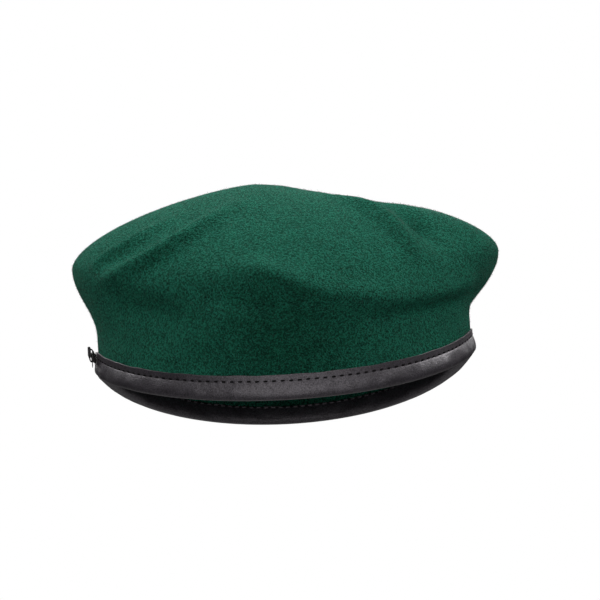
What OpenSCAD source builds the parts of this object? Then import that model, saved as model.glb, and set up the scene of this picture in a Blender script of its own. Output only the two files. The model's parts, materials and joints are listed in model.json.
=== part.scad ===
// Military beret in felted wool, bound with a folded leather strip.
// +X is the forehead, -X the nape, +Y the wearer's left, +Z up.
// The origin is the centre of the head opening, level with the band's lower edge at front and back.

/* [Head] */
// Circumference of the head that the band fits
head_size = 580; // [540:10:620]
// Width of the head opening over its length
oval = 0.83; // [0.78:0.01:0.9]
// How far the front end of the opening is drawn in from the oval.
front_tuck = 4.5; // [0:0.5:6]
// How far the band dips over the ears
ear_dip = 27; // [0:1:34]

/* [Felt] */
// Thickness of the felt
felt_t = 2; // [1.6:0.1:2.2]
// Height of the upright wall, from the band's lower edge
wall_h = 21; // [18:1:26]
// How far the crown's edge overhangs the wall at front and back
end_overhang = 12; // [8:1:24]
// How far the crown's edge overhangs the wall at the sides
side_overhang = 10; // [8:1:24]
// Height of the crown's edge at front and back
edge_h = 59; // [44:1:64]
// How far the crown's edge dips at the sides
edge_dip = 37; // [10:1:46]
// Height of the crown's peak
peak_h = 102; // [85:1:115]

/* [Binding] */
// Height of the binding's outer leg
band_h = 13; // [11:0.5:16]
// Height of the line of stitches
stitch_h = 9.4; // [8:0.1:10]
// Thickness of the leather
leather_t = 0.9; // [0.6:0.1:1.2]
// How much the drawn tape's channel swells each leg
puff = 4.6; // [2:0.2:5.2]

/* [Draw tape] */
// Width of the tape
tape_w = 5; // [4:0.5:5.5]
// Thickness of the gathered tape in its channel
tape_t = 1.2; // [0.6:0.1:1.6]
// Length of each loop of the bow
loop_l = 17; // [12:1:24]
// Length of each free end of the tape
end_l = 15; // [10:1:22]

/* [Fittings] */
// Radius of the vents' clear holes
vent_r = 2.5; // [1.5:0.5:3]
// Height of the vents' centres over the band's lower edge
vent_h = 18.4; // [18:0.2:19]
// Half-angle that the badge stiffener takes up
stiffener_arc = 18; // [10:1:22]
// Width of the size label
label_w = 24; // [18:1:26]
// Height of the size label
label_h = 16; // [10:1:20]

/* [Hidden] */
$fn = 48;

wool = [0.09, 0.32, 0.24];
leather = [0.13, 0.13, 0.14];
black = [0.05, 0.05, 0.05];
fibre = [0.78, 0.74, 0.62];
white = [0.9, 0.9, 0.88];

stations = 72;                        // stations round the head
step = 360 / stations;
skin_gap = 0.1;                       // between the felt and what holds it
felt_half = felt_t / 2;
leg_in = felt_half + skin_gap;        // a leg's face on the felt
leg_out = leg_in + leather_t;         // a leg's outer face above the channel
channel_swell = 0.632 * (leg_out + 0.6 * (puff + 0.8)); // the channel's widest half-width

// The head's half-axes, from its circumference by Ramanujan's formula, and the felt's middle at the wall.
head_a = head_size / (PI * (3 * (1 + oval) - sqrt((3 + oval) * (1 + 3 * oval))));
mid_a = head_a + channel_swell;
mid_b = head_a * oval + channel_swell;

felt_edge = tape_w + 1.9;             // the felt's raw edge, over the tape
crown_shift = [1.3, 3.1];             // the crown's edge sits a little to the front and left
peak = [-13, 4];                      // the peak sits a little to the back and left
// How the crown's edge wanders from its oval, out and up: cosine and sine parts for 1 to 4 waves round.
edge_out = [[-1.5, 4], [0.5, 0.4], [1.3, 3.4], [0.9, 0.2]];
edge_up = [[-2.5, -0.6], [0.3, 0.5], [0.8, 0.3], [-0.5, -0.8]];
dome_rise = 1.18;                     // how the dome rises and closes in, both 1 for an ellipsoid
dome_close = 1.46;
under_steps = 6;
dome_steps = 11;

exit_half = 2.6;                      // half of the slot where the tape comes out at the nape
exit_turn = asin(exit_half / mid_b);
bow_h = 11.4;                         // height of the bow's middle
bow_x = -(mid_a + channel_swell + 0.4);
knot = [2.6, 6.4, 7.4];
tape_layer = 0.5;
loop_t = 1.7;
pivot_y = 4.6;
loop_rise = 5;                        // rest angles of the loops and of the free ends
end_fall = 24;

vent_turns = [104, 122];
badge_turn = 50;
patch_margin = 3;
stiffener_t = 1;
patch_t = 0.5;
label_turn = 166;
label_t = 0.5;

// ---- the surface that every part follows ----

// How far round to the side a turn is, from 0 at front and back to 1, with a bend of the given ease.
function sideways(turn, ease) =
    (sqrt(pow(sin(turn), 2) + ease * ease) - ease) / (sqrt(1 + ease * ease) - ease);
function rim_z(turn) = -ear_dip * sideways(turn, 0.2);
function waves(turn, parts, i = 0) = i == len(parts) ? 0
    : parts[i].x * cos((i + 1) * turn) + parts[i].y * sin((i + 1) * turn) + waves(turn, parts, i + 1);
function edge_z(turn) = edge_h - edge_dip * sideways(turn, 0.3) + waves(turn, edge_up);
function smooth(f) = f * f * (3 - 2 * f);

// A point u outside the felt's middle and w over the band's lower edge.
function rim_point(turn, u, w) =
    [(mid_a + u) * cos(turn) - front_tuck * pow(max(0, cos(turn)), 2), (mid_b + u) * sin(turn), rim_z(turn) + w];

// The crown's edge, inset from the felt's outer face.
function edge_point(turn, inset) =
    let (out = felt_half + waves(turn, edge_out) - inset)
    let (a = mid_a + end_overhang + out, b = mid_b + side_overhang + out)
    [crown_shift.x + a * cos(turn), crown_shift.y + b * sin(turn), edge_z(turn)];

// The underside of the overhang: f runs from 0 at the wall to 1 at the crown's edge.
function under_point(turn, f, inset) =
    let (wall = rim_point(turn, felt_half - inset, wall_h), edge = edge_point(turn, inset))
    let (out = wall + (edge - wall) * smooth(f))
    [out.x, out.y, wall.z + (edge.z - wall.z) * f];

// The top: rise runs from 0 at the crown's edge to 90 at the peak.
function dome_point(turn, rise, inset) =
    let (edge = edge_point(turn, inset), top = peak_h - inset, out = pow(cos(rise), dome_close))
    [peak.x + (edge.x - peak.x) * out, peak.y + (edge.y - peak.y) * out,
     edge.z + (top - edge.z) * pow(sin(rise), dome_rise)];

// The felt's profile at one turn, from its raw edge to just short of the peak.
function felt_profile(turn, inset) = [
    for (w = [felt_edge, band_h, (band_h + wall_h) / 2]) rim_point(turn, felt_half - inset, w),
    for (i = [0 : under_steps - 1]) under_point(turn, i / under_steps, inset),
    for (i = [0 : dome_steps - 1]) dome_point(turn, 90 * i / dome_steps, inset)];

// ---- making solids from rings of points ----

// Triangles between ring i and ring j, each of n points.
function strip(i, j, n) = [
    for (k = [0 : n - 1]) let (l = (k + 1) % n) each [
        [i * n + k, i * n + l, j * n + l], [i * n + k, j * n + l, j * n + k]]];

// A solid through a list of sections, closed into a ring or capped at both ends.
module loft(sections, closed = false) {
    n = len(sections[0]);
    last = len(sections) - 1;
    sides = [for (i = [0 : last - (closed ? 0 : 1)]) each strip(i, (i + 1) % (last + 1), n)];
    caps = closed ? [] : [[for (k = [n - 1 : -1 : 0]) k], [for (k = [0 : n - 1]) last * n + k]];
    polyhedron([for (s = sections) each s], concat(sides, caps));
}

function turns_round() = [for (i = [0 : stations - 1]) i * step];

// The same stations, but open at the nape by half_gap degrees each side.
function turns_open(half_gap) = [
    -180 + half_gap, for (i = [1 : stations - 1]) -180 + i * step, 180 - half_gap];

module band_loft(outline, turns, closed) {
    loft([for (t = turns) [for (p = outline) rim_point(t, p.x, p.y)]], closed);
}

function disc_outline(u, w, r, sides) = [
    for (i = [0 : sides - 1]) [u + r * cos(360 * i / sides), w + r * sin(360 * i / sides)]];

// Places children at a turn, with +X out of the felt and +Y along the band.
module on_wall(turn, u, w) {
    normal = atan2(mid_a * sin(turn), mid_b * cos(turn));
    along = rim_point(turn + 1, u, w) - rim_point(turn - 1, u, w);
    slope = atan2(along.z, norm([along.x, along.y]));
    translate(rim_point(turn, u, w)) rotate([0, 0, normal]) rotate([slope, 0, 0]) children();
}

// ---- felt ----

module felt_shell() {
    outer = [for (t = turns_round()) felt_profile(t, 0)];
    inner = [for (t = turns_round()) felt_profile(t, felt_t)];
    rings = len(outer[0]);
    n = stations;
    points = concat(
        [for (r = [rings - 1 : -1 : 0]) for (t = [0 : n - 1]) inner[t][r]],
        [for (r = [0 : rings - 1]) for (t = [0 : n - 1]) outer[t][r]],
        [[peak.x, peak.y, peak_h - felt_t], [peak.x, peak.y, peak_h]]);
    top = 2 * rings - 1;
    poles = [for (k = [0 : n - 1]) let (l = (k + 1) % n) each [
        [2 * rings * n, l, k], [2 * rings * n + 1, top * n + k, top * n + l]]];
    polyhedron(points, concat([for (i = [0 : top - 1]) each strip(i, i + 1, n)], poles));
}

module felt_body() {
    color(wool) difference() {
        felt_shell();
        for (turn = vent_turns)
            on_wall(turn, 0, vent_h) rotate([0, 90, 0]) cylinder(r = vent_r + 0.9, h = 12, center = true);
    }
}

// ---- binding and its seam ----

// Half-width of a leg's face at q, from 0 at the fold to 1 at the stitches.
function puffed(q, half, swell) = sqrt(q) * (half + swell * (1 - q));
function fold_steps() = [for (i = [1 : 7]) pow(i / 7, 1.5)];

// One leg's face from the fold up to the stitches, side is 1 outside and -1 inside.
function leg_face(side, half, swell, low) = [
    for (q = fold_steps()) [side * puffed(q, half, swell), low + (stitch_h - low) * q]];

module leather_binding() {
    outside = leg_face(1, leg_out, puff + 0.8, 0);
    inside = leg_face(-1, leg_out, puff + 0.4, 0);
    cavity_out = leg_face(1, leg_in, puff, leather_t);
    cavity_in = leg_face(-1, leg_in, puff - 0.4, leather_t);
    back = [for (i = [6 : -1 : 0]) i];
    outline = concat(
        [[0, 0]], outside, [[leg_out, band_h - 0.4], [leg_out - 0.3, band_h], [leg_in, band_h]],
        [for (i = back) cavity_out[i]], [[0, leather_t]], cavity_in,
        [[-leg_in, stitch_h + 1], [-leg_out, stitch_h + 1]], [for (i = back) inside[i]]);
    color(leather) band_loft(outline, turns_open(exit_turn), false);
}

thread_r = 0.35;
module needle_thread() {
    color(black) band_loft(disc_outline(leg_out + thread_r + 0.05, stitch_h + 0.4, thread_r, 6),
                           turns_open(exit_turn), false);
}

module bobbin_thread() {
    color(black) band_loft(disc_outline(-leg_out - thread_r - 0.05, stitch_h + 0.4, thread_r, 6),
                           turns_open(exit_turn), false);
}

// ---- draw tape and bow ----

tape_low = leather_t + 0.5;

// A section of the tape about a point, its thickness turned to face along angle.
function tape_section(x, y, z, angle) =
    let (d = [cos(angle), sin(angle), 0] * tape_t / 2)
    [[x, y, z + tape_low] - d, [x, y, z + tape_low] + d,
     [x, y, z + tape_low + tape_w] + d, [x, y, z + tape_low + tape_w] - d];

module draw_tape() {
    channel = [for (t = turns_open(exit_turn)) let (p = rim_point(t, 0, 0))
        tape_section(p.x, p.y, p.z, t)];
    stem_y = 1.1;
    stem = function (side) [
        tape_section(bow_x + 0.1, side * stem_y, bow_h - tape_low - tape_w / 2, side * 90),
        tape_section(-mid_a - felt_half - 1, side * stem_y, 0.6, side * 90),
        tape_section(-mid_a, side * stem_y * 1.3, 0, side * 135)];
    color(black) loft(concat(stem(-1), channel, [for (i = [2 : -1 : 0]) stem(1)[i]]));
}

module bow_knot() {
    color(black) translate([bow_x, 0, bow_h]) difference() {
        translate([-knot.x / 2, 0, 0]) intersection() {
            cube(knot, center = true);
            rotate([0, 90, 0]) scale(1) cylinder(r = knot.z / 2 + 0.2, h = knot.x + 1, center = true);
        }
        for (side = [-1, 1]) translate([-knot.x, side * knot.y / 4, 0])
            cylinder(r = 0.35, h = knot.z + 1, center = true);
    }
}

// One loop of the bow, pointing along +Y from its pivot, pinched where it enters the knot.
module bow_loop() {
    tip_r = loop_t / 2;
    intersection() {
        translate([0, 0, -tape_w]) linear_extrude(2 * tape_w) difference() {
            hull() for (y = [tip_r, loop_l - tip_r]) translate([0, y]) circle(r = tip_r);
            hull() for (y = [tip_r, loop_l - tip_r])
                translate([0, y]) circle(r = tip_r - tape_layer);
        }
        rotate([90, 0, 90]) translate([0, 0, -loop_t]) linear_extrude(2 * loop_t) polygon([
            [-1, -1.1], [1, -1.1], [5, -tape_w / 2 - 0.2], [loop_l + 1, -tape_w / 2 - 0.6],
            [loop_l + 1, tape_w / 2 + 0.6], [5, tape_w / 2 + 0.2], [1, 1.1], [-1, 1.1]]);
    }
}

// One free end of the tape, pointing along +Y from its pivot, cut on a slant.
module tape_end() {
    rotate([90, 0, 90]) translate([0, 0, -tape_layer / 2]) linear_extrude(tape_layer) polygon([
        [0, -0.9], [4, -tape_w / 2], [end_l, -tape_w / 2], [end_l - 2, tape_w / 2],
        [4, tape_w / 2], [0, 0.9]]);
}

// Places a loop or an end at its pivot: side is 1 on the wearer's left and -1 on the right.
module at_pivot(side, depth, tilt) {
    color(black) translate([bow_x - depth, side * pivot_y, bow_h])
        rotate([side * tilt, 0, 0]) mirror([0, side < 0 ? 1 : 0, 0]) children();
}

loop_depth = tape_layer + 0.4 + loop_t / 2;
module bow_loop_left() at_pivot(1, loop_depth, loop_rise) bow_loop();
module bow_loop_right() at_pivot(-1, loop_depth, loop_rise) bow_loop();
module tape_end_left() at_pivot(1, tape_layer / 2, -end_fall) tape_end();
module tape_end_right() at_pivot(-1, tape_layer / 2, -end_fall) tape_end();

// Two bars of close stitches that stop the binding's ends tearing at the slot.
module exit_bar_tacks() {
    color(black) for (side = [-1, 1])
        translate([-(mid_a + leg_out + 0.35) + 0.02, side * (exit_half + 1.1), band_h - 1.5])
            cube([0.5, 1, 2.2], center = true);
}

// ---- vents ----

// A flanged eyelet whose barrel goes through the felt and is rolled over inside.
module eyelet(turn) {
    color(black) on_wall(turn, 0, vent_h) rotate([0, 90, 0]) rotate_extrude() {
        translate([vent_r, -felt_half - 1.6]) square([0.7, felt_t + 2.1]);
        translate([vent_r, felt_half + 0.45]) square([1.8, 0.6]);
        translate([vent_r, -felt_half - 1.7]) square([1.6, 0.4]);
    }
}

module washer(turn) {
    color(black) on_wall(turn, 0, vent_h) rotate([0, 90, 0])
        translate([0, 0, -felt_half - 0.75]) difference() {
            cylinder(r = vent_r + 1.9, h = 0.6, center = true);
            cylinder(r = vent_r + 0.85, h = 1, center = true);
        }
}

module vent_eyelet_front() eyelet(vent_turns[0]);
module vent_eyelet_rear() eyelet(vent_turns[1]);
module vent_washer_front() washer(vent_turns[0]);
module vent_washer_rear() washer(vent_turns[1]);

// ---- badge stiffener and its patch ----

// A panel inside the felt, between two insets, over the wall and the underside of the crown's edge.
function panel_point(turn, up, inset) = up < 0
    ? rim_point(turn, felt_half - inset, wall_h + up)
    : under_point(turn, up, inset);

module panel(half_arc, ups, near, far, columns) {
    rows = len(ups);
    turns = [for (i = [0 : columns]) badge_turn - half_arc + 2 * half_arc * i / columns];
    loft([for (t = turns) concat(
        [for (up = ups) panel_point(t, up, near)],
        [for (i = [rows - 1 : -1 : 0]) panel_point(t, ups[i], far)])]);
}

panel_ups = [-5, 0, 0.16, 0.32, 0.48, 0.64, 0.8, 0.92];
patch_ups = [-7, 0, 0.16, 0.32, 0.48, 0.64, 0.8, 0.96];
behind_felt = felt_t + 0.5;
behind_stiffener = behind_felt + stiffener_t + 0.5;

module badge_stiffener() color(fibre)
    panel(stiffener_arc, panel_ups, behind_felt, behind_felt + stiffener_t, 8);

module stiffener_patch() color(black)
    panel(stiffener_arc + patch_margin, patch_ups, behind_stiffener, behind_stiffener + patch_t, 10);

// The line of stitches that runs up one side of the patch and down the other.
module patch_thread() {
    half = stiffener_arc + patch_margin - 1;
    depth = behind_stiffener + patch_t + 0.4;
    color(black) for (side = [-1, 1]) {
        turn = badge_turn + side * half;
        loft([for (up = patch_ups) let (p = panel_point(turn, up, depth))
            [for (i = [0 : 5]) p + 0.3 * cos(60 * i) * [-sin(turn), cos(turn), 0]
                + 0.3 * sin(60 * i) * [cos(turn), sin(turn), 0]]]);
    }
}

// ---- size label ----

label_u = -leg_out - 2.3;
label_low = stitch_h - 1;

module size_label() {
    color(white) on_wall(label_turn, label_u, label_low) translate([0, 0, label_h / 2])
        cube([label_t, label_w, label_h], center = true);
}

module label_thread() {
    color(black) on_wall(label_turn, -leg_out - 1.6, stitch_h + 0.2)
        cube([0.3, label_w - 6, 0.4], center = true);
}

felt_body();
leather_binding();
needle_thread();
bobbin_thread();
draw_tape();
bow_knot();
bow_loop_left();
bow_loop_right();
tape_end_left();
tape_end_right();
exit_bar_tacks();
vent_eyelet_front();
vent_eyelet_rear();
vent_washer_front();
vent_washer_rear();
badge_stiffener();
stiffener_patch();
patch_thread();
size_label();
label_thread();
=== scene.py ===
import json
import math

import bpy
import numpy as np
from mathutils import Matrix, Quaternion, Vector

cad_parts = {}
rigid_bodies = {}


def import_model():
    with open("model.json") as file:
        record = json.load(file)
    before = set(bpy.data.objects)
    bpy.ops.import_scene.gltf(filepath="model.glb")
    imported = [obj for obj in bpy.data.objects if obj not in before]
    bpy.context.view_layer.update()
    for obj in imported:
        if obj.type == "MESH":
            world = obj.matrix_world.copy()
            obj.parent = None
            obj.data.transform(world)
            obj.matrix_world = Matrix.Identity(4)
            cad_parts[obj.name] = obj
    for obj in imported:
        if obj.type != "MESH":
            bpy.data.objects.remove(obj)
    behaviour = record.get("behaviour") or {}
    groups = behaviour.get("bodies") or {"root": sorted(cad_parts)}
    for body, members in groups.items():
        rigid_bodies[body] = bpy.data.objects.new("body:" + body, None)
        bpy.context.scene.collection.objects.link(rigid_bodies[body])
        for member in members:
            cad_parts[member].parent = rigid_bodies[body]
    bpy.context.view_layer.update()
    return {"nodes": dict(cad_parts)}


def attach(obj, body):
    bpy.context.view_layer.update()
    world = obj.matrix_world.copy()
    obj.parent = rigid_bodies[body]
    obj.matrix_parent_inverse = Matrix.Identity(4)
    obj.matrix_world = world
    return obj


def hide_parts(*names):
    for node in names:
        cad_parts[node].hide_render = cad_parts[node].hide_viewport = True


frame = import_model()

rng = np.random.default_rng(11)

# ---------------------------------------------------------------------------
# The hat's sizes in millimetres, as in the CAD source.

HEAD_SIZE, OVAL, FRONT_TUCK, EAR_DIP = 580.0, 0.83, 4.5, 27.0
FELT_T, WALL_H = 2.0, 21.0
END_OVERHANG, SIDE_OVERHANG = 12.0, 10.0
EDGE_H, EDGE_DIP, PEAK_H = 59.0, 37.0, 102.0
BAND_H, STITCH_H, LEATHER_T, PUFF = 13.0, 9.4, 0.9, 4.6
TAPE_W = 5.0
FELT_HALF = FELT_T / 2
LEG_IN = FELT_HALF + 0.1
LEG_OUT = LEG_IN + LEATHER_T
SWELL = 0.632 * (LEG_OUT + 0.6 * (PUFF + 0.8))
HEAD_A = HEAD_SIZE / (math.pi * (3 * (1 + OVAL) - math.sqrt((3 + OVAL) * (1 + 3 * OVAL))))
MID_A, MID_B = HEAD_A + SWELL, HEAD_A * OVAL + SWELL
FELT_EDGE = TAPE_W + 1.9
CROWN_SHIFT, PEAK = (1.3, 3.1), (-13.0, 4.0)
# How the crown's edge wanders from its plain oval: cosine and sine parts for 1, 2, 3 and 4 waves round.
EDGE_OUT = [(-1.5, 4.0), (0.5, 0.4), (1.3, 3.4), (0.9, 0.2)]
EDGE_UP = [(-2.5, -0.6), (0.3, 0.5), (0.8, 0.3), (-0.5, -0.8)]
DOME_RISE, DOME_CLOSE = 1.18, 1.46
EXIT_HALF = 2.6
EXIT_TURN = math.asin(EXIT_HALF / MID_B)
BOW_H = 11.4
BOW_X = -(MID_A + SWELL + 0.4)
PIVOT_Y = 4.6


# ---------------------------------------------------------------------------
# The surface that every piece follows. Turns are in radians, lengths in millimetres.

def sideways(turn, ease):
    return (np.sqrt(np.sin(turn) ** 2 + ease ** 2) - ease) / (math.sqrt(1 + ease ** 2) - ease)


def rim_point(turn, u, w):
    """A point u outside the felt's middle and w over the band's lower edge."""
    turn, u, w = np.broadcast_arrays(turn, u, w)
    tuck = FRONT_TUCK * np.maximum(0, np.cos(turn)) ** 2
    return np.stack([(MID_A + u) * np.cos(turn) - tuck, (MID_B + u) * np.sin(turn),
                     -EAR_DIP * sideways(turn, 0.2) + w], -1)


def waves(turn, parts):
    return sum(c * np.cos((i + 1) * turn) + s * np.sin((i + 1) * turn) for i, (c, s) in enumerate(parts))


def edge_point(turn):
    out = waves(turn, EDGE_OUT)
    return np.stack([CROWN_SHIFT[0] + (MID_A + FELT_HALF + END_OVERHANG + out) * np.cos(turn),
                     CROWN_SHIFT[1] + (MID_B + FELT_HALF + SIDE_OVERHANG + out) * np.sin(turn),
                     EDGE_H - EDGE_DIP * sideways(turn, 0.3) + waves(turn, EDGE_UP)], -1)


def plain_felt(turn, s):
    """The felt's outer face: s is 0 at the raw edge, 1 at the wall's top, 2 at the crown's edge, 3 at the peak."""
    turn, s = np.broadcast_arrays(np.asarray(turn, float), np.asarray(s, float))
    wall = rim_point(turn, FELT_HALF, FELT_EDGE + (WALL_H - FELT_EDGE) * np.clip(s, 0, 1))
    edge = edge_point(turn)
    top = rim_point(turn, FELT_HALF, WALL_H)
    f = np.clip(s - 1, 0, 1)[..., None]
    under = top + (edge - top) * f * f * (3 - 2 * f)
    under[..., 2] = (top + (edge - top) * f)[..., 2]
    rise = np.radians(90) * np.clip(s - 2, 0, 1)
    close = (np.cos(rise) ** DOME_CLOSE)[..., None]
    centre = np.array([PEAK[0], PEAK[1], 0.0])
    dome = centre + (edge - centre) * close
    dome[..., 2] = edge[..., 2] + (PEAK_H - edge[..., 2]) * np.sin(rise) ** DOME_RISE
    s = s[..., None]
    return np.where(s < 1, wall, np.where(s < 2, under, dome))


# Folds in the felt. Each is a line of (turn in degrees, s, height, half-width).
FOLDS = [
    # Two ridges over the left shoulder and the valley between them.
    [(-152, 2.0, 0.8, 5), (-148, 2.03, 2.4, 4.8), (-140.8, 2.11, 4.4, 4.8), (-133.5, 2.195, 5.2, 5),
     (-128.2, 2.27, 5.2, 5.2), (-122.8, 2.355, 4.6, 5.6), (-116.7, 2.455, 3.4, 6), (-109.8, 2.575, 1.6, 7)],
    [(-158, 2.10, 1.0, 3.6), (-156.5, 2.12, 2.0, 3.6), (-151.8, 2.205, 3.0, 3.8), (-147.5, 2.27, 3.2, 4),
     (-144.2, 2.345, 2.6, 4.4), (-141.5, 2.41, 1.5, 5), (-138, 2.48, 0.6, 5.5)],
    [(-151.2, 2.1, -0.4, 4), (-146.2, 2.17, -0.8, 4.5), (-141, 2.24, -1.0, 4.5), (-137.5, 2.31, -0.8, 5),
     (-135.2, 2.4, -0.4, 5.5)],
    # A ridge over the right shoulder, the hollow behind it and the swelling at the front of the crown.
    [(-36.5, 2.605, 1.6, 6.5), (-38.8, 2.53, 3.6, 6), (-40.8, 2.455, 5.2, 5.5), (-43.8, 2.37, 5.6, 5.5),
     (-45.5, 2.295, 4.4, 5.5), (-46, 2.205, 2.8, 6), (-43.5, 2.12, 1.0, 7)],
    [(-25.8, 2.455, -2.4, 6), (-28.5, 2.405, -4.6, 5.5), (-32, 2.345, -6.0, 5), (-33.5, 2.295, -5.4, 5),
     (-35, 2.235, -3.0, 5.5), (-36, 2.17, -1.2, 6)],
    [(-24, 2.46, 0.8, 9), (-22, 2.36, 1.8, 10), (-18, 2.25, 2.2, 11), (-16, 2.13, 1.2, 12)],
    # The saddle behind the peak.
    [(-15, 2.82, -0.8, 18), (-10, 2.73, -2.4, 19), (-7.5, 2.64, -3.4, 19), (-5.5, 2.565, -3.2, 17),
     (-4.5, 2.50, -1.6, 14)],
    # The brow: a low bump at its middle, its turn over the face, and the dent under it.
    [(-103, 2.20, 1.8, 7), (-97, 2.18, 3.6, 8), (-90, 2.14, 3.6, 8), (-84, 2.12, 2.0, 9)],
    [(-154, 1.69, -0.8, 8), (-145, 1.69, -2.6, 9), (-137, 1.68, -3.6, 10), (-129, 1.68, -3.8, 10),
     (-121, 1.68, -3.2, 10), (-114, 1.70, -2.0, 9)],
    [(-88, 2.06, 1.4, 7), (-79, 2.045, 2.6, 7), (-71, 2.035, 3.0, 7), (-61.5, 1.93, 3.0, 7),
     (-50, 1.80, 3.0, 7), (-38, 1.66, 2.8, 7), (-24, 1.56, 2.0, 6.5)],
    [(-122, 2.03, -1.4, 7), (-112, 2.03, -2.6, 7), (-103, 1.99, -3.4, 8), (-93, 1.91, -3.6, 8),
     (-84.8, 1.86, -2.4, 8), (-76, 1.83, -1.0, 8)],
    # The crease where the overhang folds over the wall on the right.
    [(-72, 1.70, -0.6, 5), (-64.5, 1.61, -1.6, 5), (-57.7, 1.60, -2.2, 4.5), (-50, 1.56, -2.8, 4.5),
     (-41, 1.50, -3.0, 4.5), (-33, 1.46, -2.8, 4.5), (-23.5, 1.41, -1.8, 5), (-14, 1.40, -0.6, 5)],
    # Slight slackness in the wall.
    [(-150, 1.3, -0.8, 9), (-140, 1.5, -1.0, 10), (-128, 1.55, -0.6, 10)],
    [(-118, 1.3, 0.7, 10), (-108, 1.5, 0.9, 11), (-98, 1.4, 0.5, 11)],
    [(-84, 1.25, -0.6, 9), (-76, 1.4, -0.8, 10), (-66, 1.3, -0.5, 9)],
]


def relief(points):
    """How far the folds lift the felt at each point."""
    total = np.zeros(points.shape[:-1])
    for fold in FOLDS:
        line = np.array(fold)
        knots = plain_felt(np.radians(line[:, 0]), line[:, 1])
        best = np.zeros_like(total)
        for i in range(len(line) - 1):
            a, b = knots[i], knots[i + 1]
            k = np.clip(((points - a) @ (b - a)) / ((b - a) @ (b - a)), 0, 1)
            gap = np.linalg.norm(points - (a + k[..., None] * (b - a)), axis=-1)
            height = line[i, 2] + (line[i + 1, 2] - line[i, 2]) * k
            width = line[i, 3] + (line[i + 1, 3] - line[i, 3]) * k
            lift = height * np.exp(-(gap / width) ** 2)
            best = np.where(np.abs(lift) > np.abs(best), lift, best)
        total += best
    return total


def grid_normals(p, round_turns=True):
    """Outward unit normals of a grid of points, turns first."""
    if round_turns:
        around = np.roll(p, -1, 0) - np.roll(p, 1, 0)
    else:
        around = np.gradient(p, axis=0)
    up = np.gradient(p, axis=1)
    n = np.cross(around, up)
    return n / np.maximum(np.linalg.norm(n, axis=-1, keepdims=True), 1e-9)


def draped(turn, s, round_turns=True):
    """The folded felt's outer face and its normals, on a grid of turns by heights."""
    t, h = np.meshgrid(turn, s, indexing="ij")
    p = plain_felt(t, h)
    n = grid_normals(p, round_turns)
    lift = relief(p) * np.clip((h - 0.7) / 0.5, 0, 1)
    p = p + n * lift[..., None]
    return p, grid_normals(p, round_turns)


def on_wall(turn_deg, u, w):
    """Origin and axes of a frame on the wall: out of the felt, along the band, up."""
    t = math.radians(turn_deg)
    origin = rim_point(t, u, w)
    along = rim_point(t + 0.0175, u, w) - rim_point(t - 0.0175, u, w)
    along /= np.linalg.norm(along)
    out = np.array([MID_B * math.cos(t), MID_A * math.sin(t), 0.0])
    out /= np.linalg.norm(out)
    return origin, out, along, np.cross(out, along)


def place(frame_of, points):
    """Points given in a frame's own axes, moved into the hat's."""
    origin, x, y, z = frame_of
    points = np.asarray(points, float)
    return origin + points[..., :1] * x + points[..., 1:2] * y + points[..., 2:3] * z


# ---------------------------------------------------------------------------
# Making meshes from arrays.

def quads(n_i, n_j, wrap_i=False, wrap_j=False, start=0, flip=False):
    i = np.arange(n_i if wrap_i else n_i - 1)
    j = np.arange(n_j if wrap_j else n_j - 1)
    i, j = np.meshgrid(i, j, indexing="ij")
    i2, j2 = (i + 1) % n_i, (j + 1) % n_j
    f = np.stack([i * n_j + j, i2 * n_j + j, i2 * n_j + j2, i * n_j + j2], -1).reshape(-1, 4)
    return (f[:, ::-1] if flip else f) + start


def add_piece(name, verts, faces, body, material, stands_for=(), smooth=True):
    """A mesh piece from points in millimetres, which rides on a body."""
    mesh = bpy.data.meshes.new(name)
    verts = np.asarray(verts, float).reshape(-1, 3) * 0.001
    if isinstance(faces, np.ndarray):
        faces = [faces]
    flat = np.concatenate([f.reshape(-1) for f in faces])
    sizes = np.concatenate([np.full(len(f), f.shape[1]) for f in faces])
    mesh.vertices.add(len(verts))
    mesh.vertices.foreach_set("co", verts.reshape(-1))
    mesh.loops.add(len(flat))
    mesh.loops.foreach_set("vertex_index", flat.astype(np.int32))
    mesh.polygons.add(len(sizes))
    mesh.polygons.foreach_set("loop_start", np.concatenate([[0], np.cumsum(sizes)[:-1]]).astype(np.int32))
    mesh.update(calc_edges=True)
    mesh.polygons.foreach_set("use_smooth", np.full(len(sizes), smooth))
    mesh.materials.append(material)
    obj = bpy.data.objects.new(name, mesh)
    bpy.context.scene.collection.objects.link(obj)
    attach(obj, body)
    if stands_for:
        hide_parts(*stands_for)
    return obj


def frames_along(path, up):
    """Side and up vectors at each point of a path, from a rough up direction."""
    along = np.gradient(path, axis=0)
    along /= np.linalg.norm(along, axis=1, keepdims=True)
    up = np.broadcast_to(np.asarray(up, float), path.shape)
    side = np.cross(along, up)
    side /= np.linalg.norm(side, axis=1, keepdims=True)
    return side, np.cross(side, along)


def sweep(path, side, up, outline):
    """A tube of sections: outline is (k, 2) for all of the path, or (n, k, 2)."""
    outline = np.asarray(outline, float)
    if outline.ndim == 2:
        outline = np.broadcast_to(outline, (len(path),) + outline.shape)
    return (path[:, None] + side[:, None] * outline[..., :1] + up[:, None] * outline[..., 1:])


def tube_faces(n, k, start=0):
    """Sides and end caps of a swept tube."""
    first = np.arange(k - 1, -1, -1)[None] + start
    last = np.arange(k)[None] + (n - 1) * k + start
    return [quads(n, k, wrap_j=True, start=start, flip=True), first[:, ::-1], last[:, ::-1]]


def ring_outline(radius, sides):
    a = np.arange(sides) * 2 * math.pi / sides
    return np.stack([radius * np.cos(a), radius * np.sin(a)], -1)


# ---------------------------------------------------------------------------
# Materials.

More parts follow.
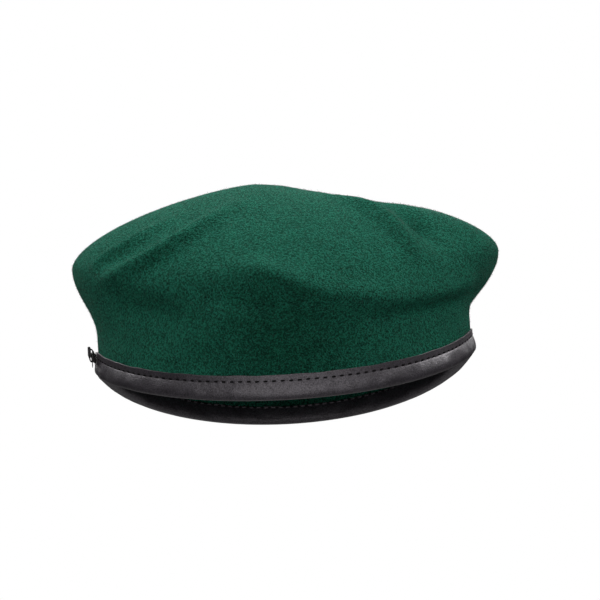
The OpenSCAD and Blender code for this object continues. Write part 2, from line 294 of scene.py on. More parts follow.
class Nodes:
    """A small helper for building a material's nodes."""

    def __init__(self, name):
        self.material = bpy.data.materials.new(name)
        self.material.use_nodes = True
        self.tree = self.material.node_tree
        self.shader = self.tree.nodes["Principled BSDF"]
        self.coords = self.tree.nodes.new("ShaderNodeTexCoord").outputs["Object"]

    def add(self, kind, inputs=None, **settings):
        node = self.tree.nodes.new(kind)
        for key, value in settings.items():
            setattr(node, key, value)
        for key, value in (inputs or {}).items():
            if isinstance(value, bpy.types.NodeSocket):
                self.tree.links.new(value, node.inputs[key])
            else:
                node.inputs[key].default_value = value
        return node

    def noise(self, scale, detail=3.0, roughness=0.5, distortion=0.0, vector=None):
        return self.add("ShaderNodeTexNoise", {
            "Vector": vector or self.coords, "Scale": scale, "Detail": detail,
            "Roughness": roughness, "Distortion": distortion}).outputs["Fac"]

    def math(self, kind, a, b=0.0, clamp=False):
        return self.add("ShaderNodeMath", {0: a, 1: b}, operation=kind, use_clamp=clamp).outputs[0]

    def span(self, value, low, high, to_low=0.0, to_high=1.0):
        return self.add("ShaderNodeMapRange", {
            "Value": value, "From Min": low, "From Max": high,
            "To Min": to_low, "To Max": to_high}).outputs["Result"]

    def mix(self, fac, a, b):
        node = self.add("ShaderNodeMix", {"Factor": fac}, data_type="RGBA")
        for socket, value in ((node.inputs[6], a), (node.inputs[7], b)):
            if isinstance(value, bpy.types.NodeSocket):
                self.tree.links.new(value, socket)
            else:
                socket.default_value = (*value, 1.0)
        return node.outputs[2]

    def scaled(self, color, fac):
        """A colour with its brightness multiplied by fac."""
        return self.add("ShaderNodeVectorMath", {0: color, 1: fac}, operation="MULTIPLY").outputs[0]

    def set(self, **inputs):
        for key, value in inputs.items():
            socket = self.shader.inputs[key.replace("_", " ")]
            if isinstance(value, bpy.types.NodeSocket):
                self.tree.links.new(value, socket)
            else:
                socket.default_value = value

    def bump(self, height, strength, distance, normal=None):
        inputs = {"Height": height, "Strength": strength, "Distance": distance}
        if normal is not None:
            inputs["Normal"] = normal
        return self.add("ShaderNodeBump", inputs).outputs["Normal"]


def felt_material():
    m = Nodes("felted_wool")
    grain = m.noise(1080.0, 1.0, 0.5, 0.5)
    fibre = m.noise(600.0, 2.0, 0.6, 7.0)
    cloud = m.noise(75.0, 4.0, 0.6)
    pale_fibre = m.noise(1050.0, 1.0, 0.6, 8.0)
    pit = m.noise(1150.0, 0.5, 0.5, 1.0)
    colour = m.mix(m.span(grain, 0.41, 0.59), (0.0001, 0.0046, 0.0022), (0.0052, 0.0830, 0.0430))
    colour = m.mix(m.span(fibre, 0.50, 0.60, 0.0, 0.6), colour, (0.0070, 0.1120, 0.0600))
    colour = m.mix(m.span(pale_fibre, 0.60, 0.69, 0.0, 0.7), colour, (0.036, 0.25, 0.155))
    colour = m.mix(m.span(pit, 0.33, 0.43, 0.9, 0.0), colour, (0.0004, 0.006, 0.003))
    colour = m.scaled(colour, m.span(cloud, 0.3, 0.7, 0.76, 1.22))
    height = m.math("ADD", m.math("MULTIPLY", grain, 0.9), m.math("MULTIPLY", fibre, 0.7))
    m.set(Base_Color=colour, Roughness=0.95, Specular_IOR_Level=0.05,
          Sheen_Weight=m.span(grain, 0.41, 0.59, 0.24, 0.62), Sheen_Roughness=0.29,
          Sheen_Tint=(0.12, 0.84, 0.58, 1.0),
          Normal=m.bump(height, 1.0, 0.0025))
    return m.material


def fibre_material():
    m = Nodes("loose_wool")
    tint = m.mix(m.span(m.noise(700.0, 2.0), 0.35, 0.65), (0.008, 0.060, 0.036), (0.04, 0.17, 0.12))
    m.set(Base_Color=tint, Roughness=0.8, Specular_IOR_Level=0.2, Sheen_Weight=0.2)
    return m.material


def leather_material():
    m = Nodes("grained_leather")
    cells = m.add("ShaderNodeTexVoronoi", {"Vector": m.coords, "Scale": 1250.0, "Smoothness": 0.5},
                  feature="SMOOTH_F1").outputs["Distance"]
    fine = m.noise(2600.0, 3.0, 0.6)
    cloud = m.noise(70.0, 3.0, 0.55)
    crease = m.noise(240.0, 4.0, 0.62, 1.2)
    speck = m.noise(1000.0, 1.0, 0.5, 3.0)
    colour = m.mix(m.span(cloud, 0.35, 0.65), (0.0115, 0.0098, 0.0128), (0.0170, 0.0148, 0.0188))
    colour = m.scaled(colour, m.span(speck, 0.42, 0.60, 0.45, 2.1))
    rough = m.math("ADD", m.span(cloud, 0.3, 0.7, 0.43, 0.49), m.span(speck, 0.4, 0.6, 0.05, -0.05))
    first = m.bump(crease, 0.05, 0.0006)
    second = m.bump(m.math("ADD", m.math("MULTIPLY", cells, -1.0), m.math("MULTIPLY", fine, 0.35)),
                    0.34, 0.00024, first)
    m.set(Base_Color=colour, Roughness=rough, Specular_IOR_Level=m.span(speck, 0.38, 0.62, 0.55, 1.1),
          Specular_Tint=(1.0, 0.94, 1.0, 1.0),
          Normal=second)
    return m.material


def thread_material(name="black_thread", colour=(0.0045, 0.0042, 0.0048)):
    m = Nodes(name)
    fine = m.noise(2400.0, 3.0, 0.7)
    twist = m.add("ShaderNodeTexWave", {"Vector": m.coords, "Scale": 330.0, "Distortion": 1.0},
                  bands_direction="DIAGONAL").outputs["Fac"]
    tint = m.mix(fine, tuple(c * 0.6 for c in colour), tuple(c * 1.7 for c in colour))
    m.set(Base_Color=tint, Roughness=0.9, Specular_IOR_Level=0.12, Normal=m.bump(twist, 0.5, 0.0002))
    return m.material


def weave_material(name, pitch_mm, dark, light, sheen=0.2, roughness=0.8):
    """A plain weave of two sets of yarns, pitch_mm apart, in all three directions."""
    m = Nodes(name)
    wobble = m.noise(180.0, 2.0, 0.5)
    axes = m.add("ShaderNodeSeparateXYZ", {0: m.coords}).outputs
    turn = 2 * math.pi / (pitch_mm * 0.001)

    def yarns(axis):
        bent = m.math("ADD", m.math("MULTIPLY", axis, turn), m.math("MULTIPLY", wobble, 1.2))
        return m.math("SINE", bent)

    across = m.math("MULTIPLY", yarns(m.math("ADD", axes[0], axes[1])), yarns(axes[2]))
    height = m.span(across, -1.0, 1.0)
    fuzz = m.noise(2600.0, 2.0, 0.6)
    colour = m.mix(m.math("MULTIPLY", height, m.span(fuzz, 0.2, 0.8, 0.6, 1.2), clamp=True), dark, light)
    m.set(Base_Color=colour, Roughness=roughness, Sheen_Weight=sheen, Sheen_Roughness=0.5,
          Normal=m.bump(height, 0.6, 0.00018))
    return m.material


def enamel_material():
    m = Nodes("black_enamel")
    wear = m.noise(900.0, 4.0, 0.6)
    colour = m.mix(m.span(wear, 0.62, 0.72, 0.0, 0.5), (0.012, 0.012, 0.012), (0.10, 0.075, 0.03))
    m.set(Base_Color=colour, Roughness=m.span(wear, 0.3, 0.7, 0.28, 0.42),
          Normal=m.bump(wear, 0.12, 0.0001), Coat_Weight=0.3, Coat_Roughness=0.2)
    return m.material


FELT = felt_material()
FIBRE = fibre_material()
LEATHER = leather_material()
THREAD = thread_material()
TAPE = weave_material("black_tape", 0.62, (0.004, 0.004, 0.0045), (0.022, 0.021, 0.023))
PATCH = weave_material("black_cotton", 0.5, (0.005, 0.0055, 0.006), (0.024, 0.025, 0.027))
LABEL = weave_material("label_satin", 0.36, (0.42, 0.41, 0.38), (0.74, 0.73, 0.69), 0.1, 0.6)
BUCKRAM = weave_material("buckram", 0.9, (0.30, 0.25, 0.16), (0.60, 0.52, 0.37), 0.0, 0.9)
ENAMEL = enamel_material()


# ---------------------------------------------------------------------------
# Felt.

def spaced(n, turn_samples=720):
    """Heights s from 0 to 3, evenly spaced along the felt's meridians."""
    s = np.linspace(0, 3, 1500)
    length = np.zeros_like(s)
    for turn in np.radians([0, 60, 120, 180, 240, 300]):
        p = plain_felt(np.full_like(s, turn), s)
        length[1:] += np.cumsum(np.linalg.norm(np.diff(p, axis=0), axis=1))
    return np.interp(np.linspace(0, length[-1], n), length, s)


VENTS = [(104, 18.4), (122, 18.4)]
HOLE_R = 3.75


def make_felt(columns=384, rows=128):
    turn = np.arange(columns) * 2 * math.pi / columns
    heights = spaced(rows + 1)[:-1]
    outer, normal = draped(turn, heights)
    inner = outer - normal * FELT_T
    keep = np.ones((columns, rows - 1), bool)
    for turn_deg, w in VENTS:
        origin, out, _, _ = on_wall(turn_deg, 0, w)
        near = np.linalg.norm(outer - origin, axis=-1)
        middle = (outer + np.roll(outer, -1, 0))[:, 1:] / 4 + (outer + np.roll(outer, -1, 0))[:, :-1] / 4
        cut = np.linalg.norm(middle - origin, axis=-1) < HOLE_R - 0.2
        keep &= ~cut
        touched = np.zeros((columns, rows), bool)
        whole = np.zeros((columns, rows), bool)
        for di in (0, 1):
            for dj in (0, 1):
                touched[:, dj:rows - 1 + dj] |= np.roll(cut, di, 0)
                whole[:, dj:rows - 1 + dj] |= np.roll(~cut & (near[:, :-1] < 12), di, 0)
        rim = touched & whole
        for skin in (outer, inner):
            rel = skin[rim] - origin
            flat = rel - (rel @ out)[:, None] * out
            length = np.linalg.norm(flat, axis=-1, keepdims=True)
            skin[rim] = skin[rim] + flat * (HOLE_R / length - 1)
    apex = np.array([[PEAK[0], PEAK[1], PEAK_H]] * 2) - [[0, 0, 0], [0, 0, FELT_T]]
    verts = np.concatenate([outer.reshape(-1, 3), inner.reshape(-1, 3), apex])
    second = columns * rows
    ids = np.arange(second).reshape(columns, rows)
    nxt = np.roll(ids, -1, 0)
    skin = np.stack([ids[:, :-1], nxt[:, :-1], nxt[:, 1:], ids[:, 1:]], -1)
    faces = [skin[keep], skin[keep][:, ::-1] + second]
    faces.append(np.stack([ids[:, 0] + second, nxt[:, 0] + second, nxt[:, 0], ids[:, 0]], -1))
    faces.append(np.stack([ids[:, -1], nxt[:, -1], np.full(columns, 2 * second)], -1))
    faces.append(np.stack([nxt[:, -1] + second, ids[:, -1] + second, np.full(columns, 2 * second + 1)], -1))
    gone = ~keep
    for step, axis, a, b in ((1, 0, 3, 0), (-1, 0, 1, 2), (1, 1, 0, 1), (-1, 1, 2, 3)):
        beside = np.roll(gone, step, axis)
        wall = skin[gone & ~beside]
        faces.append(np.stack([wall[:, a], wall[:, b], wall[:, b] + second, wall[:, a] + second], -1))
    return add_piece("felt_shell", verts, faces, "hat", FELT, ["felt_body"])


def make_nap(count=34000):
    """Loose wool fibres that stand out of the felt's face."""
    columns, rows = 360, 120
    turn = np.arange(columns) * 2 * math.pi / columns
    heights = spaced(rows + 1)[:-1]
    face, normal = draped(turn, heights)
    side = np.linalg.norm(np.roll(face, -1, 0) - face, axis=-1)[:, :-1]
    tall = np.linalg.norm(np.diff(face, axis=1), axis=-1)
    area = (side * tall * (heights[:-1] > 0.55)).reshape(-1)
    cell = rng.choice(area.size, count, p=area / area.sum())
    i, j = np.divmod(cell, rows - 1)
    fi, fj = rng.random((2, count, 1))

    def blend(grid):
        i2 = (i + 1) % columns
        low = grid[i, j] * (1 - fi) + grid[i2, j] * fi
        high = grid[i, j + 1] * (1 - fi) + grid[i2, j + 1] * fi
        return low * (1 - fj) + high * fj

    root, up = blend(face), blend(normal)
    up /= np.linalg.norm(up, axis=1, keepdims=True)
    lean = rng.normal(size=(count, 3))
    lean -= (lean * up).sum(1, keepdims=True) * up
    lean /= np.linalg.norm(lean, axis=1, keepdims=True)
    across = np.cross(up, lean)
    length = rng.gamma(4.0, 0.16, (count, 1)) + 0.35
    rise = rng.uniform(0.25, 0.75, (count, 1))
    thick = rng.uniform(0.022, 0.048, (count, 1))
    mid = root + up * length * rise * 0.62 + lean * length * 0.5
    tip = root + up * length * rise * 0.8 + lean * length * 1.0 + across * rng.normal(0, 0.25, (count, 1)) * length
    base = root - up * 0.15
    verts = []
    for centre, r in ((base, thick), (mid, thick * 0.8)):
        for k in range(3):
            a = 2 * math.pi * k / 3
            verts.append(centre + (across * math.cos(a) + up * math.sin(a)) * r)
    verts.append(tip)
    verts = np.stack(verts, 1)
    sides = np.array([[k, (k + 1) % 3, 3 + (k + 1) % 3, 3 + k] for k in range(3)])
    ends = np.array([[3 + k, 3 + (k + 1) % 3, 6] for k in range(3)] + [[2, 1, 0]])
    start = (np.arange(count) * 7)[:, None, None]
    faces = [(sides[None] + start).reshape(-1, 4), (ends[None] + start).reshape(-1, 3)]
    return add_piece("felt_nap", verts, faces, "hat", FIBRE, ["felt_body"])


# ---------------------------------------------------------------------------
# Leather binding with its stitches.

STITCHES = 138


def puffed(q, half, swell):
    return np.sqrt(q) * (half + swell * (1 - q))


def belly(q, swell):
    """A leg's outer face: the fold hangs a little, so it is widest low down."""
    return q ** 0.27 * (LEG_OUT + swell * (1 - q))


def along_rim(n, u, w, turn_from, turn_to):
    """Turns that are evenly spaced along a line round the hat."""
    t = np.linspace(turn_from, turn_to, 4000)
    p = rim_point(t, u, w)
    d = np.concatenate([[0], np.cumsum(np.linalg.norm(np.diff(p, axis=0), axis=1))])
    return np.interp(np.linspace(0, d[-1], n), d, t)


OPEN_FROM, OPEN_TO = -math.pi + EXIT_TURN, math.pi - EXIT_TURN


def leg_faces(swell, top):
    """One leg's outer face from the fold to its top edge, close-set at the stitch line."""
    q = np.array([0.001, 0.006, 0.02, 0.05, 0.1, 0.17, 0.26, 0.36, 0.47, 0.58, 0.69, 0.78, 0.85, 0.9, 0.935, 0.965, 1.0])
    face = [(belly(a, swell), STITCH_H * a) for a in q]
    above = [h for h in (0.28, 0.55, 0.85, 1.2, 1.8, 2.5, 3.1) if STITCH_H + h < top - 0.3]
    face += [(LEG_OUT + 0.06, STITCH_H + h) for h in above]
    return face + [(LEG_OUT + 0.06, top - 0.12), (LEG_OUT + 0.04, top - 0.05), (LEG_OUT - 0.04, top),
                   (LEG_OUT - 0.15, top), (LEG_IN + 0.08, top)]


def binding_outline():
    """The folded strip's section as (u, w), from the fold up the outer leg, down inside and up the other."""
    q = np.linspace(0, 1, 7)[1:] ** 1.5
    low = LEATHER_T
    cavity = [(puffed(a, LEG_IN, PUFF), low + (STITCH_H - low) * a) for a in q[::-1]] + [(0.0, low)]
    cavity += [(-puffed(a, LEG_IN, PUFF - 0.4), low + (STITCH_H - low) * a) for a in q]
    inner = [(-u, w) for u, w in leg_faces(3.6, STITCH_H + 1.0)]
    return np.array([(0.0, 0.0)] + leg_faces(3.8, BAND_H) + cavity + inner[::-1])


def make_binding():
    per_stitch = 10
    n = STITCHES * per_stitch + 1
    turn = along_rim(n, LEG_OUT, STITCH_H, OPEN_FROM, OPEN_TO)
    outline = binding_outline()
    u, w = outline[:, 0][None], outline[:, 1][None]
    beat = np.cos(2 * math.pi * (np.arange(n)[:, None] / per_stitch - 0.5))
    sunk = np.clip((beat + 0.45) / 1.3, 0, 1) ** 0.7
    is_face = np.abs(u) > LEG_IN + 0.3
    near = np.exp(-((w - STITCH_H - 0.12) / 0.55) ** 2)
    pull = near * (0.02 + 0.12 * sunk) + 0.04 * beat * np.exp(-((w - STITCH_H + 1.7) / 1.0) ** 2)
    wave = (0.22 * np.sin(turn * 17 + 1.0) + 0.16 * np.sin(turn * 31 + 2.4) + 0.1 * np.sin(turn * 57))[:, None]
    bulge = np.exp(-((w - 4.0) / 3.5) ** 2)
    u = u - np.sign(u) * np.where(is_face, pull - wave * bulge, 0.0)
    lip_wave = (0.10 * np.sin(turn * 23) + 0.08 * np.sin(turn * 41 + 1))[:, None]
    w = w + np.where(w > STITCH_H + 0.9, lip_wave, 0.0)
    p = rim_point(turn[:, None], u, w)
    faces = tube_faces(n, outline.shape[0])
    return add_piece("folded_binding", p, faces, "hat", LEATHER, ["leather_binding"])


def stitch_row(name, side, node):
    """One row of stitches along a leg: each lies in its own hollow and dips into a hole at both ends."""
    turn = along_rim(STITCHES + 1, LEG_OUT, STITCH_H, OPEN_FROM, OPEN_TO)
    steps = 9
    paths = []
    for a, b in zip(turn[:-1], turn[1:]):
        k = np.linspace(0.17, 0.83, steps)
        t = a + (b - a) * k
        rise = np.sin(np.pi * (k - 0.17) / 0.66) ** 0.5
        path = rim_point(t, side * (LEG_OUT - 0.98 + 0.66 * rise), STITCH_H + 0.45 + 0.06 * np.sin(a * 37) + 0.1 * (k - 0.5))
        paths.append((path, np.array([math.cos(a) * side, math.sin(a) * side, 0.0])))
    # The thread is drawn 1.2 mm thick, wider than the real thread, so its black also covers the needle holes and the
    # groove round them: partly the thread's own colour, partly painted shade of the holes.
    verts, faces = capsules(paths, 0.60, 8)
    return add_piece(name, verts, faces, "hat", THREAD, [node])


# ---------------------------------------------------------------------------
# Tape: the bow at the nape.

def ribbon(name, path, width_dir, width, body, node, thick=0.46, material=None, closed=False):
    """A woven tape along a path, with slightly thicker selvedges."""
    n = len(path)
    along = np.gradient(path, axis=0)
    along /= np.linalg.norm(along, axis=1, keepdims=True)
    w = np.broadcast_to(np.asarray(width_dir, float), path.shape)
    w = w - (w * along).sum(1, keepdims=True) * along
    w /= np.linalg.norm(w, axis=1, keepdims=True)
    face = np.cross(along, w)
    v = np.linspace(-1, 1, 13)
    half = thick / 2 * (0.86 + 0.2 * np.exp(-((np.abs(v) - 0.88) / 0.1) ** 2)) * np.sqrt(np.clip(1.02 - v ** 8, 0, 1))
    rows = np.concatenate([np.stack([v, half], 1), np.stack([v[::-1], -half[::-1]], 1)])
    wide = np.broadcast_to(np.asarray(width, float), (n,))[:, None, None] / 2
    p = path[:, None] + w[:, None] * rows[None, :, :1] * wide + face[:, None] * rows[None, :, 1:]
    return add_piece(name, p, tube_faces(n, len(rows)), body, material or TAPE, [node])


def hinged(side, depth, tilt, local):
    """Points of a loop or an end, from its own axes at its pivot to the hat's."""
    a = math.radians(side * tilt)
    x, y, z = local[:, 0] + np.clip(local[:, 1], 0, None) ** 2 / 400, side * local[:, 1], local[:, 2]
    return np.stack([BOW_X - depth + x, side * PIVOT_Y + y * math.cos(a) - z * math.sin(a),
                     BOW_H + y * math.sin(a) + z * math.cos(a)], 1)


def make_loop(name, side, body, seed):
    """Out along the back layer, round the fold at the tip and home along the front one."""
    length, half = 17.0, 0.56
    y_out = np.linspace(-2.2, length - 1.1, 26)
    open_up = 1 - np.exp(-np.clip(y_out + 0.4, 0, None) / 3.5)
    sway = 0.12 * np.sin(y_out * 0.5 + seed)
    back = np.stack([half * open_up * 0.9 + 0.05 + sway, y_out], 1)
    front = np.stack([-half * open_up - 0.05 + sway * 0.6, y_out], 1)
    a = np.linspace(math.pi / 2, -math.pi / 2, 9)[1:-1]
    tip = np.stack([half * 0.95 * np.sin(a), length - 1.1 + 0.7 * np.cos(a)], 1)
    flat = np.concatenate([back, tip, front[::-1]])
    droop = -0.5 * np.clip(flat[:, 1] / length, 0, 1) ** 2 * (1 + 0.5 * math.sin(seed))
    local = np.column_stack([flat, droop])
    path = hinged(side, 1.50, 3, local)
    spread = np.clip((flat[:, 1] + 0.2) / 5.5, 0, 1)
    width = 2.0 + (TAPE_W - 2.0) * spread * spread * (3 - 2 * spread)
    tilt = math.radians(side * 3)
    return ribbon(name, path, (0, -math.sin(tilt), math.cos(tilt)), width, body, name)


def make_end(name, side, body, seed):
    y = np.linspace(-1.6, 14.6, 34)
    local = np.column_stack([0.10 * np.sin(y * 0.55 + seed) * np.clip(y / 6, 0, 1), y,
                             0.35 * np.sin(y * 0.22 + seed) * np.clip(y / 8, 0, 1)])
    path = hinged(side, 0.25, -24, local)
    spread = np.clip((y + 0.5) / 4.5, 0, 1)
    width = 1.8 + (TAPE_W - 1.8) * spread * spread * (3 - 2 * spread)
    tilt = math.radians(side * -24)
    obj = ribbon(name, path, (0, -math.sin(tilt), math.cos(tilt)), width, body, name, thick=0.42)
    # The slant cut: the last rows are drawn back on the lower side.
    mesh = obj.data
    co = np.empty(len(mesh.vertices) * 3)
    mesh.vertices.foreach_get("co", co)
    co = co.reshape(len(path), -1, 3)
    run = np.clip((y - 10.0) / 4.6, 0, 1)[:, None, None]
    along = (path[-1] - path[-6]) / np.linalg.norm(path[-1] - path[-6]) * 0.001
    up = np.array([0, -math.sin(tilt), math.cos(tilt)])
    high = ((co * 1000 - path[:, None]) @ up / (TAPE_W / 2))[..., None]
    co = co + run * (high - 1) * -0.0 * along - run * (high + 1) * 0.95 * along
    mesh.vertices.foreach_set("co", co.reshape(-1))
    mesh.update()
    return obj


def make_knot():
    """The tape drawn round the middle of the bow, open towards the hat."""
    a = np.linspace(math.radians(-158), math.radians(158), 40) + math.pi
    c, s = np.cos(a), np.sin(a)
    path = np.column_stack([BOW_X - 1.34 + 0.98 * np.sign(c) * np.abs(c) ** 0.75,
                            0.35 * np.sin(a + 0.4), BOW_H + 3.35 * np.sign(s) * np.abs(s) ** 0.8])
    along = np.gradient(path, axis=0)
    along /= np.linalg.norm(along, axis=1, keepdims=True)
    across = np.array([0, 1.0, 0.0]) - along * along[:, 1:2]
    across /= np.linalg.norm(across, axis=1, keepdims=True)
    out = np.cross(along, across)
    out *= np.sign((out * (path - [BOW_X - 1.3, 0, BOW_H])).sum(1, keepdims=True))
    v = np.linspace(-1, 1, 25)
    gathers = 0.16 * np.cos(v * math.pi * 2.6 + 0.7) - 0.10 * np.cos(v * math.pi * 4.3)
    top = 0.22 + gathers * 0.7 - 0.2 * v ** 4
    outline = np.concatenate([np.stack([v * 2.9, top], 1), np.stack([v[::-1] * 2.85, np.full(25, -0.25)], 1)])
    squeeze = 1 - 0.16 * np.abs(c) ** 2
    outline = outline[None] * np.stack([squeeze, np.ones_like(squeeze)], -1)[:, None]
    p = path[:, None] + across[:, None] * outline[..., :1] + out[:, None] * outline[..., 1:]
    return add_piece("bow_wrap", p, tube_faces(len(path), 50), "hat", TAPE, ["bow_knot"])


# ---------------------------------------------------------------------------
# Small parts.

def capsules(paths, radius, sides=7, flat=1.0):
    """Short threads, each along its own path of points with an up direction."""
    ring = ring_outline(1.0, sides)
    verts, faces, start = [], [], 0
    for path, up in paths:
        steps = len(path)
        side, over = frames_along(path, up)
        k = np.linspace(-1, 1, steps)
        r = radius * np.sqrt(np.clip(1.03 - k ** 6, 0.05, 1))
        verts.append(sweep(path, side, over, ring[None] * np.stack([r, r * flat], -1)[:, None]).reshape(-1, 3))
        faces.append(tube_faces(steps, sides, start))
        start += steps * sides
    return np.concatenate(verts), [np.concatenate([f[i] for f in faces]) for i in range(3)]


def arch(a, b, up, height, steps=7):
    k = np.linspace(0, 1, steps)[:, None]
    return a + (b - a) * k + np.asarray(up) * height * np.sin(np.pi * k) ** 0.6


def make_tacks():
    paths = []
    x = -(MID_A + LEG_OUT + 0.35)
    for side in (-1, 1):
        y = side * (EXIT_HALF + 1.1)
        for z in np.linspace(-0.95, 0.95, 6):
            a = np.array([x + 0.25, y - 0.5, BAND_H - 1.5 + z])
            b = np.array([x + 0.25, y + 0.5, BAND_H - 1.5 + z + 0.12])
            paths.append((arch(a, b, (-1, 0, 0), 0.28), (-1.0, 0, 0)))
    verts, faces = capsules(paths, 0.17)
    add_piece("bar_tack_stitches", verts, faces, "hat", THREAD, ["exit_bar_tacks"])


def lathe(name, profile, turn_deg, w, node, segments=48):
    """A closed profile of (radius, depth) turned about the felt's normal."""
    profile = np.asarray(profile, float)
    a = np.arange(segments) * 2 * math.pi / segments
    local = np.stack(np.broadcast_arrays(profile[None, :, 1], profile[None, :, 0] * np.cos(a)[:, None],
                                         profile[None, :, 0] * np.sin(a)[:, None]), -1)
    p = place(on_wall(turn_deg, 0, w), local)
    faces = quads(segments, len(profile), wrap_i=True, wrap_j=True)
    return add_piece(name, p, faces, "hat", ENAMEL, [node])


def arc(cx, cy, r, start, stop, n=6):
    a = np.radians(np.linspace(start, stop, n))
    return [(cx + r * math.cos(k), cy + r * math.sin(k)) for k in a]


def make_vents():
    hole, flange = 2.5, 4.3
    for name, (turn_deg, w) in zip(("front", "rear"), VENTS):
        face = arc(flange - 0.25, 1.72, 0.25, -90, 80) + [(flange - 0.9, 2.06)]
        face += arc(hole + 0.55, 1.6, 0.52, 75, 180, 8)
        barrel = [(hole, 0.8), (hole, -1.0), (hole, -2.2)] + arc(hole + 0.7, -2.3, 0.68, 180, 330, 8)
        back = [(hole + 0.62, -1.8), (hole + 0.6, 0.6), (hole + 0.75, 1.35), (flange - 0.5, 1.45)]
        lathe("eyelet_" + name, face + barrel + back, turn_deg, w, "vent_eyelet_" + name)
        r_in, r_out, mid = 3.38, 4.38, -1.75
        ring = arc(r_out - 0.28, mid, 0.28, -90, 90) + arc(r_in + 0.26, mid, 0.26, 90, 270)
        lathe("washer_" + name, ring, turn_deg, w, "vent_washer_" + name)


BADGE_TURN = 50.0


def lining_face(turn, s, inset):
    """A face inside the felt, a given depth behind its outer face."""
    p, n = draped(turn, s, round_turns=False)
    return p - n * np.asarray(inset)


def sheet_between(name, near, far, body, material, node):
    """A solid between two grids of the same size."""
    a, b = near.shape[:2]
    second = a * b
    ids = np.arange(second).reshape(a, b)
    edge = np.concatenate([ids[:, 0], ids[-1, 1:], ids[-2::-1, -1], ids[0, -2:0:-1]])
    nxt = np.roll(edge, -1)
    faces = [quads(a, b), quads(a, b, start=second, flip=True),
             np.stack([edge + second, nxt + second, nxt, edge], -1)]
    verts = np.concatenate([near.reshape(-1, 3), far.reshape(-1, 3)])
    return add_piece(name, verts, faces, body, material, [node])


def make_badge_backing():
    # The fibre panel, with its corners rounded by drawing in the ends of each row.
    for name, half, low, top, near, far, slot, material, node in (
            ("stiffener_board", 18.0, 1 - 5 / 14.1, 1.92, 2.5, 3.5, "fibreboard", BUCKRAM, "badge_stiffener"),
            ("patch_panel", 21.0, 1 - 7 / 14.1, 1.96, 4.0, 4.5, "patch_cloth", PATCH, "stiffener_patch")):
        turn = np.radians(np.linspace(BADGE_TURN - half, BADGE_TURN + half, 61))
        s = np.linspace(low, top, 41)
        t, h = np.meshgrid(turn, s, indexing="ij")
        corner = np.clip((np.abs(t - math.radians(BADGE_TURN)) / math.radians(half) - 0.9) / 0.1, 0, 1)
        squeeze = 1 - 0.12 * (1 - np.sqrt(1 - corner ** 2 * 0.98))
        mid = (low + top) / 2
        h = mid + (h - mid) * squeeze
        p = plain_felt(t, h)
        n = grid_normals(p, False)
        p = p + n * (relief(p) * np.clip((h - 0.7) / 0.5, 0, 1))[..., None]
        n = grid_normals(p, False)
        hem = 0.0
        if slot == "patch_cloth":
            rim = np.maximum(np.abs(t - math.radians(BADGE_TURN)) / math.radians(half), np.abs(h - mid) * 2 / (top - low))
            hem = np.clip((rim - 0.93) / 0.02, 0, 1) * 0.22
        add = sheet_between(name, p - n * near, p - n * (far + np.asarray(hem)[..., None] if slot == "patch_cloth" else far),
                            "hat", material, node)
    paths = []
    s = np.linspace(1 - 6.4 / 14.1, 1.93, 15)
    for side in (-1, 1):
        turn = np.radians(BADGE_TURN + side * 20) + np.array([-0.01, 0, 0.01])
        p, n = draped(turn, s, round_turns=False)
        line, inward = p[1] - n[1] * 4.82, -n[1]
        for k in range(len(s) - 1):
            a, b = line[k], line[k + 1]
            gap = (b - a) * 0.06
            paths.append((arch(a + gap, b - gap, inward[k], 0.14, 9), inward[k]))
    verts, faces = capsules(paths, 0.17)
    add_piece("patch_stitches", verts, faces, "hat", THREAD, ["patch_thread"])


LABEL_W, LABEL_H, LABEL_TURN = 24.0, 16.0, 166.0


def make_label():
    frame_of = on_wall(LABEL_TURN, -LEG_OUT - 2.3, STITCH_H - 1)
    y = np.linspace(-LABEL_W / 2, LABEL_W / 2, 49)
    z = np.concatenate([[0], np.linspace(0.15, LABEL_H - 0.15, 40), [LABEL_H]])
    yy, zz = np.meshgrid(y, z, indexing="ij")
    curl = 0.28 * (zz / LABEL_H) ** 2 * np.cos(yy * 0.25) + 0.1 * np.sin(yy * 0.4 + 1) * zz / LABEL_H
    hem = np.where((zz < 1.9) | (zz > LABEL_H - 1.9), 0.1, 0.0)
    bead = np.where(np.abs(yy) > LABEL_W / 2 - 0.5, 0.04, 0.0)
    near = place(frame_of, np.stack([0.12 + hem + bead - curl, yy, zz], -1))
    far = place(frame_of, np.stack([-0.12 - hem - bead - curl, yy, zz], -1))
    sheet_between("woven_label", near, far, "label", LABEL, "size_label")
    origin, out, along, up = on_wall(LABEL_TURN, -LEG_OUT - 1.6, STITCH_H + 0.2)
    paths = []
    for k in np.linspace(-8.2, 8.2, 8):
        a = origin + along * (k - 0.95) - out * 0.0
        b = origin + along * (k + 0.95) + up * 0.05
        paths.append((arch(a, b, -out, 0.1), -out))
    verts, faces = capsules(paths, 0.15)
    add_piece("label_stitches", verts, faces, "hat", THREAD, ["label_thread"])


make_felt()
make_nap()
make_binding()
stitch_row("needle_stitches", 1, "needle_thread")
stitch_row("bobbin_stitches", -1, "bobbin_thread")
make_knot()
make_loop("bow_loop_left", 1, "loop_left", 0.4)
make_loop("bow_loop_right", -1, "loop_right", 2.1)
make_end("tape_end_left", 1, "end_left", 0.3)
make_end("tape_end_right", -1, "end_right", 1.9)
make_tacks()
make_vents()
make_badge_backing()
make_label()

draw_tape = frame["nodes"]["draw_tape"]
draw_tape.data.materials.clear()
draw_tape.data.materials.append(TAPE)

# ---------------------------------------------------------------------------
# Stage, lights and camera, in metres.

for obj in list(bpy.data.objects):
    if obj.name in ("Cube", "Light", "Camera"):
        bpy.data.objects.remove(obj)

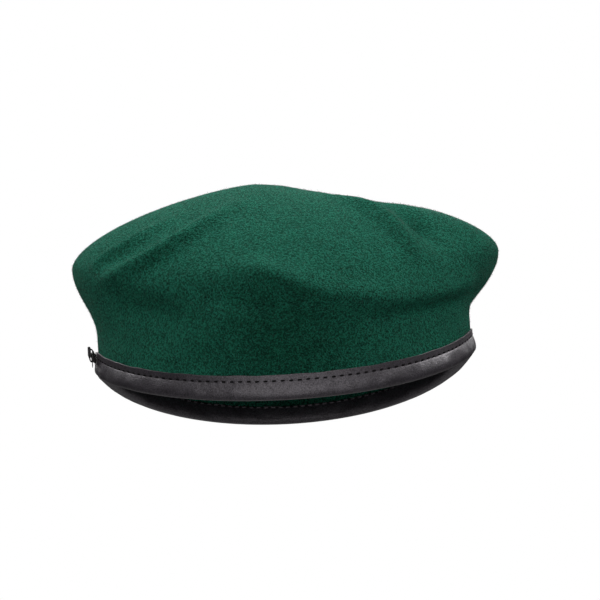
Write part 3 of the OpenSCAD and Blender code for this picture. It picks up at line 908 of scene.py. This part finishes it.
floor_mesh = bpy.data.meshes.new("floor")
FLOOR_Z, FLOOR_R = -0.42, 12.0
floor_mesh.from_pydata([(-FLOOR_R, -FLOOR_R, FLOOR_Z), (FLOOR_R, -FLOOR_R, FLOOR_Z),
                        (FLOOR_R, FLOOR_R, FLOOR_Z), (-FLOOR_R, FLOOR_R, FLOOR_Z)], [], [(0, 1, 2, 3)])
floor = bpy.data.objects.new("floor", floor_mesh)
bpy.context.scene.collection.objects.link(floor)
floor_mat = Nodes("pale_floor")
# Pale and even to look at, with little light given back, and clear when seen from below.
floor_ray = floor_mat.add("ShaderNodeLightPath").outputs["Is Camera Ray"]
below = floor_mat.add("ShaderNodeNewGeometry").outputs["Backfacing"]
floor_mat.set(Base_Color=floor_mat.mix(floor_ray, (0.16, 0.16, 0.16), (0.12, 0.12, 0.12)), Roughness=0.9,
              Emission_Color=(1.0, 1.0, 1.0, 1.0), Emission_Strength=floor_mat.math("MULTIPLY", floor_ray, 0.97),
              Alpha=floor_mat.math("SUBTRACT", 1.0, below))
floor_mesh.materials.append(floor_mat.material)


def area_light(name, place, target, size, power, tint=(1, 1, 1)):
    light = bpy.data.lights.new(name, "AREA")
    light.shape = "RECTANGLE"
    light.size, light.size_y = size
    light.energy = power
    light.color = tint
    obj = bpy.data.objects.new(name, light)
    obj.location = place
    obj.rotation_euler = (Vector(target) - Vector(place)).to_track_quat("-Z", "Y").to_euler()
    bpy.context.scene.collection.objects.link(obj)


CENTRE = (0.0, 0.0, 0.035)
area_light("left_soft", (-0.84, 0.46, 1.16), CENTRE, (0.8, 0.8), 21.0)
area_light("right_soft", (1.02, 0.30, 1.00), CENTRE, (0.8, 0.8), 18.0)
area_light("top_soft", (0.0, -0.12, 1.35), CENTRE, (0.9, 0.9), 6.0)
area_light("back_soft", (0.0, 1.1, 0.65), CENTRE, (1.8, 0.8), 13.0)
area_light("front_soft", (0.0, -1.55, 0.70), CENTRE, (2.2, 1.3), 16.0)
area_light("low_fill", (0.0, -1.5, -0.24), CENTRE, (1.8, 0.4), 2.4)

world = bpy.data.worlds.new("studio")
bpy.context.scene.world = world
world.use_nodes = True
tree = world.node_tree
background = tree.nodes["Background"]
path_kind = tree.nodes.new("ShaderNodeLightPath")
level = tree.nodes.new("ShaderNodeMapRange")
level.inputs["To Min"].default_value = 0.045
level.inputs["To Max"].default_value = 1.0
tree.links.new(path_kind.outputs["Is Camera Ray"], level.inputs["Value"])
tree.links.new(level.outputs["Result"], background.inputs["Strength"])
background.inputs["Color"].default_value = (1, 1, 1, 1)
bpy.context.scene.view_settings.view_transform = "Standard"

camera_data = bpy.data.cameras.new("photo_camera")
camera = bpy.data.objects.new("photo_camera", camera_data)
bpy.context.scene.collection.objects.link(camera)
bpy.context.scene.camera = camera
EYE = Vector((-0.0059, -1.4130, -0.1355))
AIM = Vector((0.0078, 0.0, 0.0349))
camera_data.sensor_width = 36.0
camera_data.lens = 154.4
camera.location = EYE
look = (AIM - EYE).to_track_quat("-Z", "Y")
camera.rotation_mode = "QUATERNION"
camera.rotation_quaternion = Quaternion(look @ Vector((0, 0, 1)), math.radians(-3.67)) @ look
